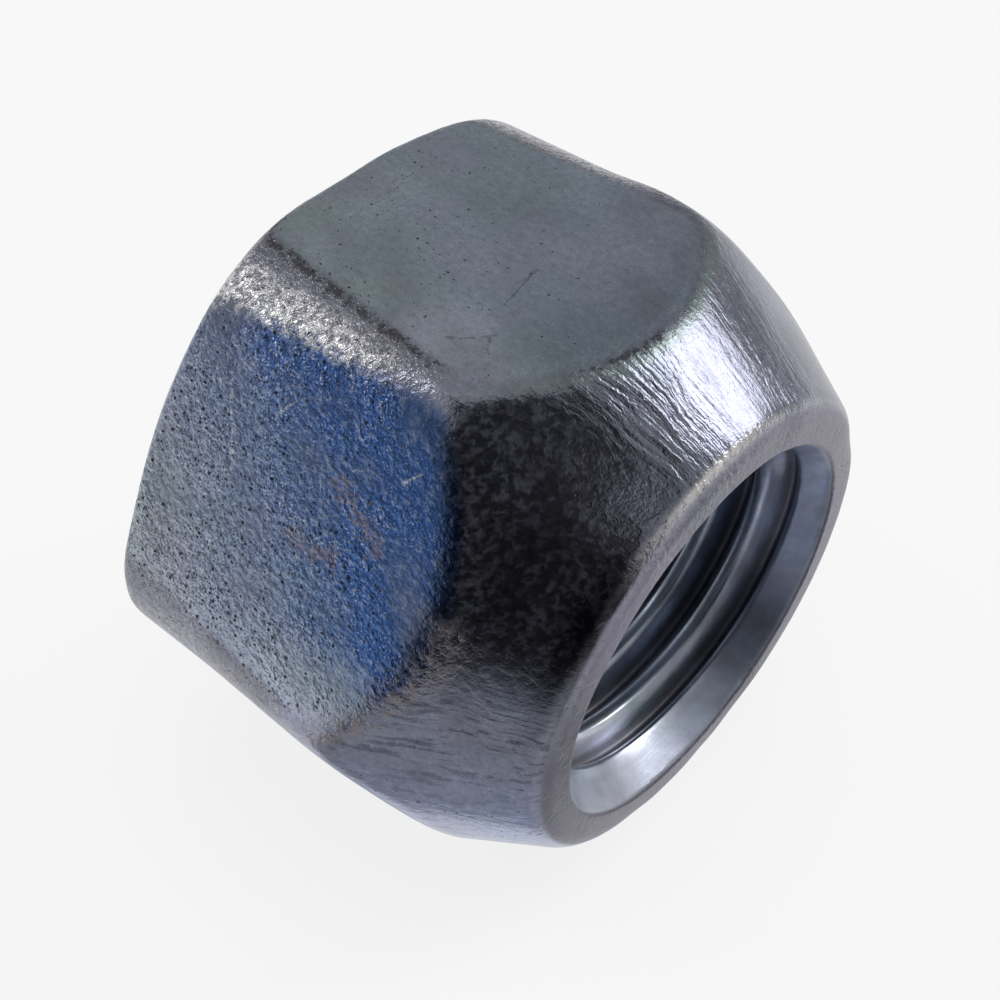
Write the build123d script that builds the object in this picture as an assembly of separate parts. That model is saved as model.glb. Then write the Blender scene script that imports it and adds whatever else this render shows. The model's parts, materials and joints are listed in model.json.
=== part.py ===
from build123d import *
import os
from math import acos, cos, pi, radians, tan

# A wheel nut with a conical seat, forged from one piece of steel and tapped.
# It lies on one of its six flats, as it comes to rest on a bench.
# The thread's axis runs along X, and the cone that seats in the wheel points to +X.
# The origin is on that axis, halfway along the nut. All sizes are in millimetres.

# The hexagon that the wrench turns
across_flats = 19.0
height = 15.4

# The thread that the wheel stud screws into
thread_diameter = 12.0
thread_pitch = 1.5

# The countersink at each end that leads the stud into the thread
mouth_allowance = 0.7
countersink_angle = 60.0

# The cone that centres the wheel, and the rolled rim at its small end
seat_angle = 60.0
seat_end_wall = 1.2
rim_radius = 0.95

# The ring that is left of the back face, and the bevel from it to the six corners
back_face_wall = 1.15
back_bevel_angle = 30.0

# How far the forging falls short of a sharp hexagon, measured across its corners.
# The die draws the corners out a little less at the back than at the seat.
corner_shortfall_back = 1.16
corner_shortfall_seat = 0.50

# The soft edges that forging leaves
shoulder_radius = 3.0
bevel_edge_radius = 0.8
flat_edge_radius = 0.8

# Thread form: a 60 degree thread leaves a bore this many pitches under its diameter
minor_diameter = thread_diameter - 1.0825 * thread_pitch
mouth_diameter = thread_diameter + mouth_allowance
countersink_depth = (mouth_diameter - minor_diameter) / 2 / tan(radians(countersink_angle / 2))

# The round form's radii, from the mouth and the hexagon
seat_end_radius = mouth_diameter / 2 + seat_end_wall
back_face_radius = mouth_diameter / 2 + back_face_wall
sharp_corners = across_flats / cos(radians(30))
back_corner_radius = (sharp_corners - corner_shortfall_back) / 2
seat_corner_radius = (sharp_corners - corner_shortfall_seat) / 2

# Where the round form turns, along the axis
back = -height / 2
front = height / 2
bevel_end = back + (back_corner_radius - back_face_radius) * tan(radians(back_bevel_angle))
seat_start = front - (seat_corner_radius - seat_end_radius) / tan(radians(seat_angle / 2))

# Each flat meets the round form at this turn, and leaves a narrow band at each corner.
# The two soft edges of a band stay clear of each other at its narrow end.
corner_turn = acos(across_flats / 2 / seat_corner_radius)
half_band = seat_corner_radius * (pi / 6 - corner_turn)
edge_radius = min(flat_edge_radius, 0.8 * half_band / tan(corner_turn / 2))


def turned(outline):
    """Turn an outline, given from the axis at the back to the axis at the front, about X."""
    closed = outline + Line(outline @ 1, outline @ 0)
    return revolve(make_face(closed), axis=Axis.X)


def round_form():
    """The round form around the hexagon: back face, bevel, flared body, cone seat and rim."""
    outline = FilletPolyline(
        (back, 0),
        (back, back_face_radius),
        (bevel_end, back_corner_radius),
        (seat_start, seat_corner_radius),
        (front, seat_end_radius),
        (front, 0),
        radius=(0, bevel_edge_radius, shoulder_radius, rim_radius),
    )
    return turned(outline)


def hexagon_bar():
    """The hexagonal bar, with one flat under the nut and one on top."""
    section = Plane.YZ.offset(back) * RegularPolygon(across_flats / 2, 6, major_radius=False)
    return extrude(section, amount=height)


def bore():
    """What tapping and countersinking take out: the thread's bore with a wider mouth at each end."""
    outline = Polyline(
        (back, 0),
        (back, mouth_diameter / 2),
        (back + countersink_depth, minor_diameter / 2),
        (front - countersink_depth, minor_diameter / 2),
        (front, mouth_diameter / 2),
        (front, 0),
    )
    return turned(outline)


def flat_edges(body):
    """The closed run of edges around each of the six flats."""
    sides = body.faces().filter_by(GeomType.PLANE).filter_by(Axis.X, reverse=True)
    return sides.edges()


def lug_nut():
    """The bar taken down to the round form, with soft edges around its flats, then bored."""
    body = hexagon_bar() & round_form()
    body = fillet(flat_edges(body), edge_radius)
    return body - bore()


os.makedirs("parts", exist_ok=True)
nut = lug_nut()
export_step(nut, "parts/lug_nut.step")
print("lug_nut volume", round(nut.volume, 1), "size", nut.bounding_box().size)
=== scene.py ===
# %% [markdown]
# # A wheel nut with a conical seat
# The nut is forged from one piece of steel, tapped, and plated with zinc. Its solid comes packed, in
# metres, as a fixed frame. This script turns it into the nut that one can pick up: the thread is cut, the
# forging gets its small unevenness and its dents, and the plating gets its grain, its colour and its wear.

# %% load the frame
import json
import math

import bpy
import numpy as np
from mathutils import Matrix, Vector


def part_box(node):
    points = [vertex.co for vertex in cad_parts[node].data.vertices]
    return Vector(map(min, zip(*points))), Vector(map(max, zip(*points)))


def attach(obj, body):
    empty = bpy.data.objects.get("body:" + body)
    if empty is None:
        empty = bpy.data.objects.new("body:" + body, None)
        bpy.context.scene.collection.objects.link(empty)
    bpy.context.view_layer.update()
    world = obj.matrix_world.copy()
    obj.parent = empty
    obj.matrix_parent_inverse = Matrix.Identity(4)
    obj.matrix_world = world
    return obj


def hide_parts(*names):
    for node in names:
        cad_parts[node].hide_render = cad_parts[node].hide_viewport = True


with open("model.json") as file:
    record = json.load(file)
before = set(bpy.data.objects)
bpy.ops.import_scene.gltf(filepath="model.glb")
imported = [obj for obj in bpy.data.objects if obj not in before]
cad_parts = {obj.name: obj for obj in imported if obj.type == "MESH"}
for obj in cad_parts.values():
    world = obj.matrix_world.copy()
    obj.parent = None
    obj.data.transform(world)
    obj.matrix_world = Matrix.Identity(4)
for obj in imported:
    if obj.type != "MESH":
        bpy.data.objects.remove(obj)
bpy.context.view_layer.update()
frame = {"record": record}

# %% [markdown]
# ## Sizes
# The frame holds the sizes that matter: the nut's box gives its height and the width across its flats, and
# its thread's mount gives the bore. The rest are the sizes of the forging, named as a maker names them, so
# that the surface below follows the solid. The seat, the bevel at the back and both countersinks lean by
# 30 degrees, so that one slope serves them all.

# %% sizes
MM = 0.001
lowest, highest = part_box("lug_nut")
back = lowest.x
front = highest.x
flat_distance = highest.z
mounts = {mount["name"]: mount for mount in frame["record"]["mounts"]}
minor_radius = mounts["thread"]["dims"]["r_mm"] * MM
thread_pitch = 1.5 * MM
root_radius = 6.03 * MM
mouth_radius = 6.34 * MM
back_face_radius = 7.5 * MM
back_corner_radius = 10.39 * MM
seat_corner_radius = 10.72 * MM
seat_end_radius = 7.55 * MM
cone_slope = math.tan(math.radians(30))
bevel_end = back + (back_corner_radius - back_face_radius) * cone_slope
seat_start = front - (seat_corner_radius - seat_end_radius) / cone_slope
print("height", round((front - back) / MM, 2), "across flats", round(2 * flat_distance / MM, 2))

# %% [markdown]
# ## Camera
# The photograph looks down on the nut from close by, with the seat turned towards the lens. The place, the
# direction and the lens come from fitting the nut's outline, so they are plain numbers here. A camera that
# stands so near needs a short clip distance.

# %% camera
camera_place = Vector((20.746, -26.765, 34.698)) * MM
turn_around = math.radians(38.41)
look_down = math.radians(45.59)
tilt = math.radians(4.05)
camera = bpy.data.objects.new("camera", bpy.data.cameras.new("camera"))
camera.matrix_world = (
    Matrix.Translation(camera_place)
    @ Matrix.Rotation(turn_around, 4, "Z")
    @ Matrix.Rotation(math.pi / 2 - look_down, 4, "X")
    @ Matrix.Rotation(tilt, 4, "Z")
)
camera.data.lens = 55.47
camera.data.clip_start = 0.001
bpy.context.scene.collection.objects.link(camera)
bpy.context.scene.camera = camera
print("camera looks along", [round(value, 3) for value in camera.matrix_world.col[2].xyz * -1])

# %% [markdown]
# ## The turned outline
# Cut along its axis, the nut shows a ring at the back, a bevel, a body that flares a little, a rolled
# shoulder, the cone that seats in the wheel, and a rim. That is one polyline with rounded corners. Carried
# round the axis it gives the turned form, and each rounding is an arc that touches both of its lines.


# %% rounded outline
def rounded_outline(corners, radii, arc_steps, line_steps):
    """Points along a polyline whose inner corners are arcs.

    An arc of radius r starts r / tan(half the corner's angle) before the corner and turns by what is
    left to a half turn. Each line between two arcs is divided evenly.
    """
    corners = np.array(corners)
    arcs = []
    for place, radius, steps in zip(range(1, len(corners) - 1), radii, arc_steps):
        before = corners[place - 1] - corners[place]
        after = corners[place + 1] - corners[place]
        before = before / np.linalg.norm(before)
        after = after / np.linalg.norm(after)
        half = math.acos(before @ after) / 2
        start = corners[place] + before * radius / math.tan(half)
        inwards = (before + after) / np.linalg.norm(before + after)
        middle = corners[place] + inwards * radius / math.sin(half)
        turn = np.linspace(0, math.pi - 2 * half, steps)[:, None]
        arcs.append(middle + (start - middle) * np.cos(turn) - before * radius * np.sin(turn))
    pieces = [arcs[0]]
    for last_arc, arc, steps in zip(arcs[:-1], arcs[1:], line_steps):
        share = np.linspace(0, 1, steps + 1)[1:-1, None]
        pieces.append(last_arc[-1] + (arc[0] - last_arc[-1]) * share)
        pieces.append(arc)
    return np.concatenate(pieces)


countersink_depth = (mouth_radius - minor_radius) / cone_slope
outline = rounded_outline(
    corners=[
        (back + countersink_depth, minor_radius),
        (back, mouth_radius),
        (back, back_face_radius),
        (bevel_end, back_corner_radius),
        (seat_start, seat_corner_radius),
        (front, seat_end_radius),
        (front, mouth_radius),
        (front - countersink_depth, minor_radius),
    ],
    radii=[0.12 * MM, 0.3 * MM, 0.8 * MM, 3.0 * MM, 0.95 * MM, 0.16 * MM],
    arc_steps=[4, 4, 6, 9, 15, 6],
    line_steps=[4, 12, 18, 34, 6],
)
print("outline points", len(outline))

# %% [markdown]
# ## The forged skin
# The six flats cut the turned form, and forging leaves their edges soft. The distance of the skin from the
# axis is therefore the smaller of two distances, the hexagon's and the outline's, with a soft minimum that
# rounds the meeting line. Boolean tools would give that line as well, but the formula keeps an even grid,
# which takes the unevenness of the forging without a seam.


# %% flats and soft edges
SIXTH = math.pi / 3


def hexagon(angle):
    """Distance from the axis to the sharp hexagon.

    It is half the width across flats over the cosine of the angle from the nearest flat's middle.
    """
    return flat_distance / np.cos(np.mod(angle, SIXTH) - SIXTH / 2)


def soft_minimum(first, second, blend):
    """The smaller of two distances, rounded where they meet.

    It is less by blend / 4 * (1 - difference / blend)^2 while the two differ by less than the blend.
    """
    near = np.clip(1 - np.abs(first - second) / blend, 0, 1)
    return np.minimum(first, second) - near**2 * blend / 4


def column_angles(count, crowding):
    """Angles once round the axis, closer together at the six corners.

    The angle is the even turn t less the crowding times sin(6 t) / 6, so its rate is 1 - crowding there.
    """
    turn = np.arange(count) * 2 * math.pi / count
    return turn - crowding * np.sin(6 * turn) / 6


COLUMNS = 312
angles = column_angles(COLUMNS, crowding=0.5)
print("columns", COLUMNS, "narrowest step", round(math.degrees(np.diff(angles).min()), 2), "degrees")

# %% [markdown]
# ## Unevenness and dents
# A die never fills evenly, so the flats are slightly hollow and the cone waves a little. A sum of cosines
# with whole numbers of turns round the axis closes on itself, and a fixed seed keeps it the same each time.
# The rim, which takes every knock, has dents: each is a place on the nut, a width and a depth, all in
# millimetres. Where the die let a little more metal through, the depth is less than nothing, and the place
# stands proud.


# %% unevenness and dents
def unevenness(angle, along, waves, most_turns, shortest, seed):
    """Smooth hollows from 0 to 1.

    The sum of cosines of (turns * angle + rate * along + start), each with its own whole number of turns
    and its own rate, which is at most one wave in the shortest length. It is scaled to run from 0 to 1.
    """
    draw = np.random.default_rng(seed)
    total = np.zeros(np.broadcast(angle, along).shape)
    for _ in range(waves):
        turns = draw.integers(-most_turns, most_turns + 1)
        rate = draw.uniform(-1, 1) * 2 * math.pi / shortest
        total += np.cos(turns * angle + rate * along + draw.uniform(0, 2 * math.pi))
    return (total - total.min()) / (total.max() - total.min())


def dent_depth(points, dents):
    """Depth of all dents at each point: the sum of depth * exp(-(distance / width)^2)."""
    depth = np.zeros(points.shape[:-1])
    for place, width, deepest in dents:
        distance = np.linalg.norm(points - np.array(place) * MM, axis=-1)
        depth += deepest * MM * np.exp(-((distance / (width * MM)) ** 2))
    return depth


# %% the skin as a grid
EDGE_SOFTNESS = 0.42 * MM


def around_axis(along, radius, angle):
    """A point at this place along the axis, this far from it, at this angle from the Y axis."""
    return np.stack([along + 0 * angle, radius * np.cos(angle), radius * np.sin(angle)], axis=-1)


def forged_skin(outline, angles, dents):
    """The skin as rows along the outline and columns round the axis.

    Radius = soft minimum of hexagon(angle) and the outline's radius. Every point then moves inwards by
    the unevenness and the dents: straight to the axis on a flat, and along the outline's normal elsewhere.
    """
    along = outline[:, :1]
    turned = outline[:, 1:]
    around = angles[None, :]
    past_flat = turned - hexagon(around)
    radius = soft_minimum(hexagon(around), turned, EDGE_SOFTNESS)
    tangent = np.gradient(outline, axis=0)
    tangent = tangent / np.linalg.norm(tangent, axis=1, keepdims=True)
    on_flat = np.clip(past_flat / EDGE_SOFTNESS + 0.5, 0, 1)
    normal_along = -tangent[:, 1:] * (1 - on_flat)
    normal_out = tangent[:, :1] * (1 - on_flat) + on_flat
    wide = unevenness(around, along, waves=24, most_turns=9, shortest=5 * MM, seed=4)
    fine = unevenness(around, along, waves=60, most_turns=40, shortest=1.2 * MM, seed=5)
    hollow = 0.035 * MM * wide + 0.012 * MM * fine
    sound = around_axis(along, radius, around)
    inwards = hollow + dent_depth(sound, dents)
    points = around_axis(along - normal_along * inwards, radius - normal_out * inwards, around)
    return points, past_flat


KNOCKS = [
    ((7.7, 3.2, -6.9), 0.9, 0.04),
    ((7.7, 1.4, -7.4), 0.7, 0.03),
    ((7.6, -5.6, 4.9), 0.35, 0.04),
    ((7.6, 1.9, 7.3), 0.8, 0.06),
    ((7.6, 6.9, 3.1), 0.9, 0.07),
    ((7.6, -2.3, -7.2), 0.7, 0.03),
    ((-7.6, 4.1, 6.4), 0.8, 0.09),
    ((-7.6, -6.8, -2.9), 0.7, 0.07),
    ((0.3, 5.6, 9.2), 1.3, -0.13),
    ((-5.9, -10.3, 0.1), 1.5, -0.14),
    ((-6.6, -0.9, 9.5), 1.4, 0.10),
]
skin_points, past_flat = forged_skin(outline, angles, KNOCKS)
print("skin grid", skin_points.shape[:2])

# %% [markdown]
# ## What each place of the skin is
# The finish changes from place to place. The formulas that made the shape also know where its flats, its
# corners, the seat and the rim are, so this is kept as attributes of the mesh, which the materials read.
# Paint on a picture would do as well, but an attribute needs no picture and follows the shape.
# Six flats and six corners had their own luck in the bath and on the bench, so each has its own share; the
# shares of light are painted light and shade.
# Flat 0 starts at the Y axis and the others follow over the top: 1 is the top flat and 2 the blue one. A
# corner has the number of the flat after it. A border is the edge of half a flat, so there are twelve.
# Round the seat, a place is an angle, a width and an amount.


# %% shares of the flats, the corners and the seat
# Flat 2's full blue is partly the passivation and partly painted reflection of blue surroundings.
FLAT_BLUE = np.array([0.45, 0.16, 1.0, 0.5, 0.3, 0.6])
FLAT_GRAIN = np.array([0.5, 0.18, 1.0, 0.8, 0.5, 0.7])
FLAT_PITS = np.array([0.4, 0.24, 1.0, 0.8, 0.5, 0.6])
# The next two rows are painted light and shade: each flat, and the top flat towards the front, made lighter
# or darker.
FLAT_PAINTED_LIGHT = np.array([0.0, 0.13, 0.01, 0.0, 0.0, 0.0])
FLAT_FRONT_PAINTED_SHADE = np.array([0.0, -0.28, 0.0, 0.0, 0.0, 0.0])
CORNER_POLISH = np.array([0.5, 0.4, 1.0, 0.1, 0.35, 0.5])
BORDER_DARK_LINE = np.array([0.3, 0.3, 0.4, 0.66, 0.25, 0.3, 0.3, 0.4, 0.5, 0.4, 0.4, 0.3])
BORDER_GREEN = np.array([0.1, 0.1, 0.9, 1.0, 0.0, 0.0, 0.0, 0.1, 0.1, 0.2, 0.0, 0.0])
BORDER_RUST = np.array([0.1, 0.0, 0.0, 0.0, 0.22, 1.0, 0.2, 0.1, 0.3, 0.2, 0.2, 0.1])
# Painted light and shade round the seat: places made darker or lighter so that their reflections are as
# bright as wanted.
SEAT_PAINTED_LIGHT_AND_SHADE = [(46, 20, -0.36), (82, 12, -0.10), (122, 12, 0.45), (202, 26, 0.52)]
STREAKS = [(100, 11, 1.0), (72, 12, 0.4), (171, 10, 1.0), (198, 18, 0.3), (10, 30, 0.5), (300, 30, 0.6)]


def smooth_step(value, low, high):
    """0 below low, 1 above high, and 3 t^2 - 2 t^3 between."""
    share = np.clip((value - low) / (high - low), 0, 1)
    return share * share * (3 - 2 * share)


def near_to(value, middle, width):
    """1 at the middle, falling off as exp(-((value - middle) / width)^2)."""
    return np.exp(-(((value - middle) / width) ** 2))


def sum_near(value, places):
    """The sum of amount * near_to(value, middle, width) over all places."""
    return sum(amount * near_to(value, middle, width) for middle, width, amount in places)


# %% forms of the skin
def skin_forms(along, past_flat):
    """Shares from 0 to 1 that say whether a point is on a flat, a corner, the seat or the rim.

    A flat is where the outline lies outside the hexagon. The rim and the ring at the back are what is past
    the cone and the bevel. Corners are what is left of the body, and the seat is the rest.
    """
    flat = smooth_step(past_flat, -0.05 * MM, 0.1 * MM)
    back_ring = 1 - smooth_step(along, back + 0.05 * MM, back + 0.5 * MM)
    rim = np.maximum(smooth_step(along, front - 0.18 * MM, front - 0.08 * MM), back_ring)
    body = 1 - smooth_step(along, seat_start - 2.4 * MM, seat_start - 0.2 * MM)
    corner = (1 - flat) * body * (1 - back_ring)
    seat = (1 - flat) * (1 - body) * (1 - rim)
    return flat, corner, seat, rim


skin_along = outline[:, :1] + 0 * angles[None, :]
flat, corner, seat, rim = skin_forms(skin_along, past_flat)
print("on flats", round(float(flat.mean()), 2), "on the seat", round(float(seat.mean()), 2))

# %% where a point lies
turned = np.degrees(angles)
flat_number = np.floor(angles / SIXTH).astype(int)
border_number = np.floor(angles / SIXTH * 2).astype(int)
corner_number = np.round(angles / SIXTH).astype(int)
across = flat_distance * np.tan(np.mod(angles, SIXTH) - SIXTH / 2)
from_corner = (angles - corner_number * SIXTH) * back_corner_radius
flat_end = (seat_corner_radius - hexagon(angles)) / cone_slope + seat_start
to_front = flat_end - skin_along
low_front = smooth_step(across, 1.8 * MM, 4.2 * MM) * smooth_step(skin_along, -3.0 * MM, 0.5 * MM)
print("a flat ends between", np.round([flat_end.min() / MM, flat_end.max() / MM], 1), "mm")

# %% [markdown]
# ## Blue, grain and pits
# The blue is deepest towards the front of each flat. It is partly the passivation, which stayed longest
# there, and partly painted reflection of blue surroundings, fullest on flat 2 and weaker on the lower front
# of a flat. Pits are deepest where the scale of the forging was thickest, towards the back. Both follow a
# slope across a flat.
# The lower cone has a little of both. The grain is worn down towards the front, and the seat is smooth.

# %% blue, grain and pits
# The blue is partly the passivation's own and partly painted reflection: its slope, flat 2's full share,
# and its fading on the lower front.
blue = np.clip(0.83 + (0.10 * skin_along - 0.085 * across) / MM, 0, 1) * FLAT_BLUE[flat_number]
blue = blue * (1 - 0.72 * low_front) * smooth_step(past_flat, -0.2 * MM, 0.1 * MM)
blue = blue + seat * (0.10 + 0.32 * near_to(turned, 203, 24))
pitted = np.clip(0.64 + (0.07 * across - 0.10 * skin_along) / MM, 0.10, 1) * FLAT_PITS[flat_number] * flat
pitted = pitted + 0.2 * corner + 0.12 * rim + seat * (0.04 + 0.22 * near_to(turned, 205, 25))
smoother = 1 - 0.45 * smooth_step(skin_along, -0.5 * MM, 3.0 * MM) * (1 - low_front)
coarse = flat * FLAT_GRAIN[flat_number] * smoother + 0.6 * corner + 0.05 * seat + 0.35 * rim
matt = 0.20 + flat * (0.16 - 0.10 * FLAT_GRAIN[flat_number]) + 0.02 * corner + 0.18 * rim
print("mean blue", round(float(blue.mean()), 2), "mean grain", round(float(coarse.mean()), 2))

# %% [markdown]
# ## Painted light and shade
# This share multiplies the metal's own colour, and 1 leaves it as it is. It is painted light and shade: the
# flats, their lower fronts and their ends at the seat, places round the seat and one corner are made
# lighter or darker, so that their reflections come out as bright as they should. At one side of the rim the
# ring is painted lighter and the roll behind it painted darker.

# %% painted light and shade
# Painted shade where a grained flat ends at the seat.
seat_edge_shade = FLAT_GRAIN[flat_number] * (1 - smooth_step(to_front, -0.1 * MM, 1.2 * MM)) * (1 - low_front)
light = 1 + flat * (FLAT_PAINTED_LIGHT[flat_number] + 0.20 * low_front - 0.42 * seat_edge_shade)
light = light + flat * FLAT_FRONT_PAINTED_SHADE[flat_number] * smooth_step(skin_along, 0.5 * MM, 4.0 * MM)
light = light + seat * sum_near(turned, SEAT_PAINTED_LIGHT_AND_SHADE)
light = light - 0.28 * corner * near_to(turned, 180, 10)
# Painted light on one side of the rim's ring, and painted shade on the roll of the seat behind it.
rim_light_and_roll_shade = near_to(turned, 136, 22) * smooth_step(skin_along, front - 1.1 * MM, front - 0.6 * MM)
light = light + rim_light_and_roll_shade * (1.7 * rim - 0.72 * seat)
print("lightest and darkest", round(float(light.max()), 2), round(float(light.min()), 2))

# %% [markdown]
# ## Wear, dirt and streaks
# A wrench rubs the corners, more on the side that it pushes, so polish starts at one edge of a corner and
# ends towards the seat. Narrow dark lines, a green deposit and brown dust lie where a flat ends. The
# file or the wheel left streaks round the seat, and the edge where the rim starts has a painted highlight
# over a faint worn line.

# %% wear, dirt and streaks
polish = corner * CORNER_POLISH[np.mod(corner_number, 6)]
polish = polish * smooth_step(from_corner, -0.50 * MM, 0.15 * MM)
polish = polish * (1 - 0.9 * smooth_step(skin_along, -1.0 * MM, 0.5 * MM))
fainter_line = 0.7 * smooth_step(skin_along, 0.3 * MM, 2.2 * MM) * (1 - near_to(turned, 94, 15))
# A narrow dark line along the edge of each flat, fainter towards the front.
dark_line = near_to(past_flat, -0.05 * MM, 0.12 * MM) * BORDER_DARK_LINE[border_number] * (1 - fainter_line)
dark_line = dark_line * smooth_step(skin_along, back + 0.4 * MM, back + 1.5 * MM)
green = near_to(past_flat, -0.16 * MM, 0.13 * MM) * BORDER_GREEN[border_number]
green = green * smooth_step(skin_along, 1.2 * MM, 3.2 * MM)
rust = near_to(to_front, -0.25 * MM, 0.50 * MM) * BORDER_RUST[border_number]
streaky = np.clip(0.10 + sum_near(turned, STREAKS), 0, 1) * seat
# Painted highlight along the edge where the rim starts, strongest at one side, over a faint worn line all
# round.
worn_and_highlight = near_to(skin_along, front - 0.25 * MM, 0.085 * MM) * (0.10 + 0.90 * near_to(turned, 102, 20))
places = {
    "flat": flat,
    "corner": corner,
    "rim": rim,
    "blue": blue,
    "light": light,
    "pitted": pitted,
    "polish": polish,
    "dark_line": dark_line,
    "green": green,
    "rust": rust,
    "streaky": streaky,
    "worn_and_highlight": worn_and_highlight,
    "coarse": coarse,
    "matt": matt,
}
print("attributes", {name: round(float(value.mean()), 3) for name, value in places.items()})

# %% [markdown]
# ## The thread
# The tap leaves a helical groove with sides at 60 degrees. If every row of the grid climbs one pitch in a
# turn, the rows follow the crests and the roots, which stay crisp with few faces. After a whole turn a row
# meets the row that starts one pitch further on, and at each end the rows run out on the mouth's edge.


# %% thread and countersinks
def thread_form(height):
    """Distance from the axis over one pitch of the thread.

    A quarter of the pitch is crest at the minor radius, an eighth is root, with straight sides between.
    The mean of that form at three places, a tenth of a pitch in all, rounds its corners.
    """
    turning_points = [0, 1 / 8, 7 / 16, 9 / 16, 7 / 8, 1]
    radii = [minor_radius] * 2 + [root_radius] * 2 + [minor_radius] * 2
    shares = [np.mod(height / thread_pitch + shift, 1) for shift in (-0.05, 0, 0.05)]
    return np.mean([np.interp(share, turning_points, radii) for share in shares], axis=0)


def countersink(along):
    """Radius of the wider of the two mouths' cones, which narrow inwards from each end."""
    from_end = np.minimum(front - along, along - back)
    return mouth_radius - from_end * cone_slope


def soft_maximum(first, second, blend):
    """The larger of two distances, with their meeting line rounded as the soft minimum rounds it."""
    return -soft_minimum(-first, -second, blend)


CREST_ROWS = [-0.125, -0.1, 0, 0.1, 0.125]
ROOT_ROWS = [0.4375, 0.46, 0.5, 0.54, 0.5625]
ROWS_IN_PITCH = np.array([*CREST_ROWS, 0.2, 0.28, 0.36, *ROOT_ROWS, 0.64, 0.72, 0.8])
THREAD_PHASE = -0.08


def helix_rows():
    """Heights of the rows at angle 0, from the front down, each a share of a pitch from a crest.

    They start half a pitch past the front mouth and end two pitches past the back one, as the rows climb.
    """
    turns = math.ceil((front - back) / thread_pitch) + 3
    heights = (np.arange(turns)[:, None] + ROWS_IN_PITCH[None, :]).ravel() * thread_pitch
    heights = heights + back - 2 * thread_pitch + THREAD_PHASE * thread_pitch
    return heights[heights <= front + 0.5 * thread_pitch][::-1]


rows = helix_rows()
print("bore rows", len(rows))


# %% tapped bore
def tapped_bore(rows, angles, ring_front, ring_back):
    """The bore on the helical grid, and which points have run out on the front and the back ring.

    Place along the axis = row's height + pitch * angle / a whole turn. Radius = the soft maximum of the
    thread's form at the row's height and the countersink at that place.
    """
    climb = thread_pitch * angles[None, :] / (2 * math.pi)
    along = rows[:, None] + climb
    phase_height = rows[:, None] - back - THREAD_PHASE * thread_pitch
    blend = 0.08 * MM
    radius = soft_maximum(thread_form(phase_height) + 0 * climb, countersink(along), blend)
    points = around_axis(along, radius, angles[None, :])
    margin = 0.03 * MM
    return points, along > ring_front - margin, along < ring_back + margin


bore_points, past_front, past_back = tapped_bore(rows, angles, outline[-1, 0], outline[0, 0])
print("bore grid", bore_points.shape[:2], "run out", int(past_front.sum()), int(past_back.sum()))

# %% [markdown]
# ## One closed surface
# The skin and the bore share the two rings of points at the mouths, so the nut is one watertight surface.
# Rows that have run out use the ring's own points, and faces that this folds flat are left out.


# %% join the grids
def grid_faces(numbers):
    """Faces with four corners between the rows and the columns of a grid of point numbers."""
    corners = [numbers[:-1, :-1], numbers[:-1, 1:], numbers[1:, 1:], numbers[1:, :-1]]
    return np.stack(corners, axis=-1).reshape(-1, 4)


def nut_faces(skin_shape, past_front, past_back, rows_in_pitch):
    """Triangles of the skin and the bore, as numbers of points.

    Skin point (row, column) has the number row * columns + column, and the bore's points follow. In the
    column after the last, a row is the row one pitch further to the front, in the first column.
    """
    skin_rows, columns = skin_shape
    skin = np.arange(skin_rows * columns).reshape(skin_rows, columns)
    bore = skin.size + np.arange(past_front.size).reshape(past_front.shape)
    bore = np.where(past_front, skin[-1][None, :], bore)
    bore = np.where(past_back, skin[0][None, :], bore)
    shifted = np.concatenate([np.full(rows_in_pitch, skin[-1, 0]), bore[:-rows_in_pitch, 0]])
    bore = np.concatenate([bore, shifted[:, None]], axis=1)
    skin = np.concatenate([skin, skin[:, :1]], axis=1)
    faces = np.concatenate([grid_faces(skin), grid_faces(bore)])
    triangles = np.concatenate([faces[:, [0, 1, 2]], faces[:, [0, 2, 3]]])
    first, second, third = triangles.T
    return triangles[(first != second) & (second != third) & (third != first)]


triangles = nut_faces(skin_points.shape[:2], past_front, past_back, len(ROWS_IN_PITCH))
used, triangles = np.unique(triangles, return_inverse=True)
triangles = triangles.reshape(-1, 3)
points = np.concatenate([skin_points.reshape(-1, 3), bore_points.reshape(-1, 3)])[used]
print("points", len(points), "triangles", len(triangles))

# %% [markdown]
# ## The nut as an object
# The surface becomes one mesh, which rides on the frame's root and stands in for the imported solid. It
# keeps the finish of each place as attributes. Two sets of soft clouds pass through the whole nut: one
# makes grain and blue come and go, and the other turns the grey a little towards lavender or green.

# %% the nut's object
nut_mesh = bpy.data.meshes.new("forged_nut")
nut_mesh.from_pydata(points.tolist(), [], triangles.tolist())
nut_mesh.polygons.foreach_set("use_smooth", np.ones(len(triangles), bool))
nut_mesh.update()
nut = bpy.data.objects.new("forged_nut", nut_mesh)
bpy.context.scene.collection.objects.link(nut)
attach(nut, "root")
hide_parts("lug_nut")


# %% keep the attributes
def add_attribute(mesh, name, values):
    """A number for each point of the mesh, which a material reads by its name."""
    attribute = mesh.attributes.new(name, "FLOAT", "POINT")
    attribute.data.foreach_set("value", values.astype(np.float32))


def soft_clouds(points, waves, shortest, seed):
    """Smooth clouds from 0 to 1 that pass through the whole nut.

    The sum of cosines of (way * place * 2 pi / length + start), each with its own way through space and
    its own length, from the shortest up to four times that. Its middle is 0.5, and its spread is 0.2.
    """
    draw = np.random.default_rng(seed)
    ways = draw.normal(size=(3, waves))
    ways = ways / np.linalg.norm(ways, axis=0) * 2 * math.pi / (shortest * draw.uniform(1, 4, waves))
    total = np.cos(points @ ways + draw.uniform(0, 2 * math.pi, waves)).sum(axis=1)
    return np.clip(0.5 + total / (5 * total.std()), 0, 1)


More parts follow.
